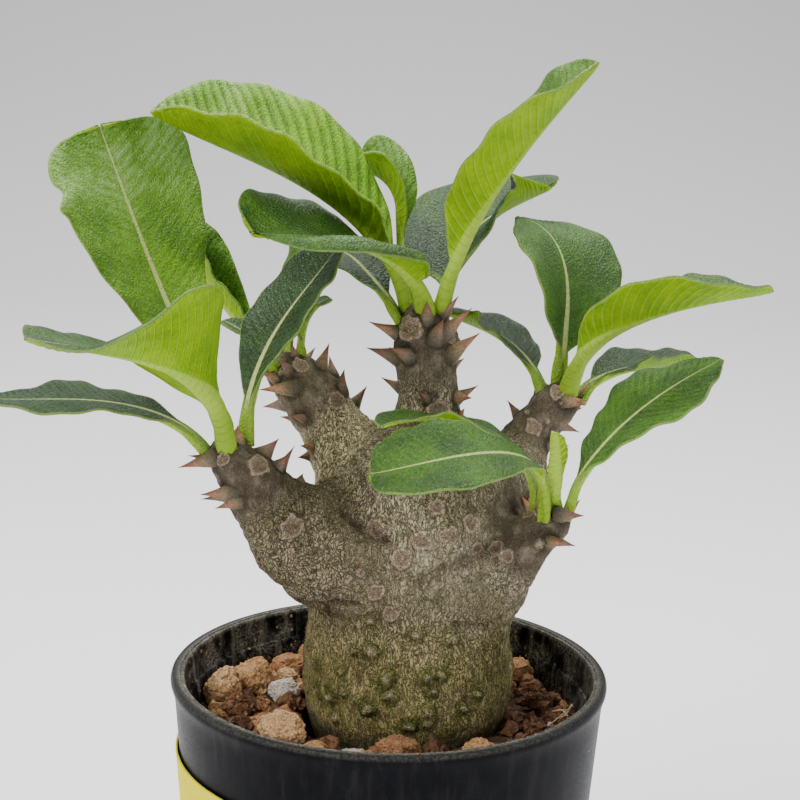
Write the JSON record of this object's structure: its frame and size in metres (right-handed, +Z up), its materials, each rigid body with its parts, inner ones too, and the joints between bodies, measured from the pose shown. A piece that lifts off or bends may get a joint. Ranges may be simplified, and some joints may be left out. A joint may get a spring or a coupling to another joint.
{
  "type": "potted pachypodium",
  "caption": "Young pachypodium in a round plastic nursery pot: a swollen trunk on pumice soil, stubby spiny branches and broad glossy leaves.",
  "frame": {"origin": "centre of the flat underside of the pot", "axes": "+Z up; +X to the right and -Y toward the viewer, as the plant stands in the picture"},
  "size_m": [0.1507, 0.1014, 0.2025],
  "materials": {
    "pot_plastic": "satin charcoal, dusty and scuffed",
    "label_paper": "plain yellow sticker",
    "pumice_soil": "porous tan, brown and whitish granules",
    "bark": "finely wrinkled grey-beige bark with reddish-brown spines and green algae near the soil",
    "leaf_green": "waxy, semi-gloss, paler below"
  },
  "bodies": {
    "root": {"pot": "pot_plastic", "pot_label": "label_paper", "substrate": "pumice_soil", "caudex": "bark", "leaf_front_left_1": "leaf_green", "leaf_front_left_2": "leaf_green", "leaf_front_left_3": "leaf_green", "leaf_front_left_4": "leaf_green", "leaf_centre_1": "leaf_green", "leaf_centre_2": "leaf_green", "leaf_centre_3": "leaf_green", "leaf_centre_4": "leaf_green", "leaf_centre_5": "leaf_green", "leaf_centre_6": "leaf_green", "leaf_back_left_1": "leaf_green", "leaf_back_left_2": "leaf_green", "leaf_back_left_3": "leaf_green", "leaf_back_left_4": "leaf_green", "leaf_back_right_1": "leaf_green", "leaf_back_right_2": "leaf_green", "leaf_back_right_3": "leaf_green", "leaf_back_right_4": "leaf_green", "leaf_front_right_1": "leaf_green", "leaf_front_right_2": "leaf_green", "leaf_front_right_3": "leaf_green", "leaf_front_right_4": "leaf_green"}
  },
  "joints": []
}
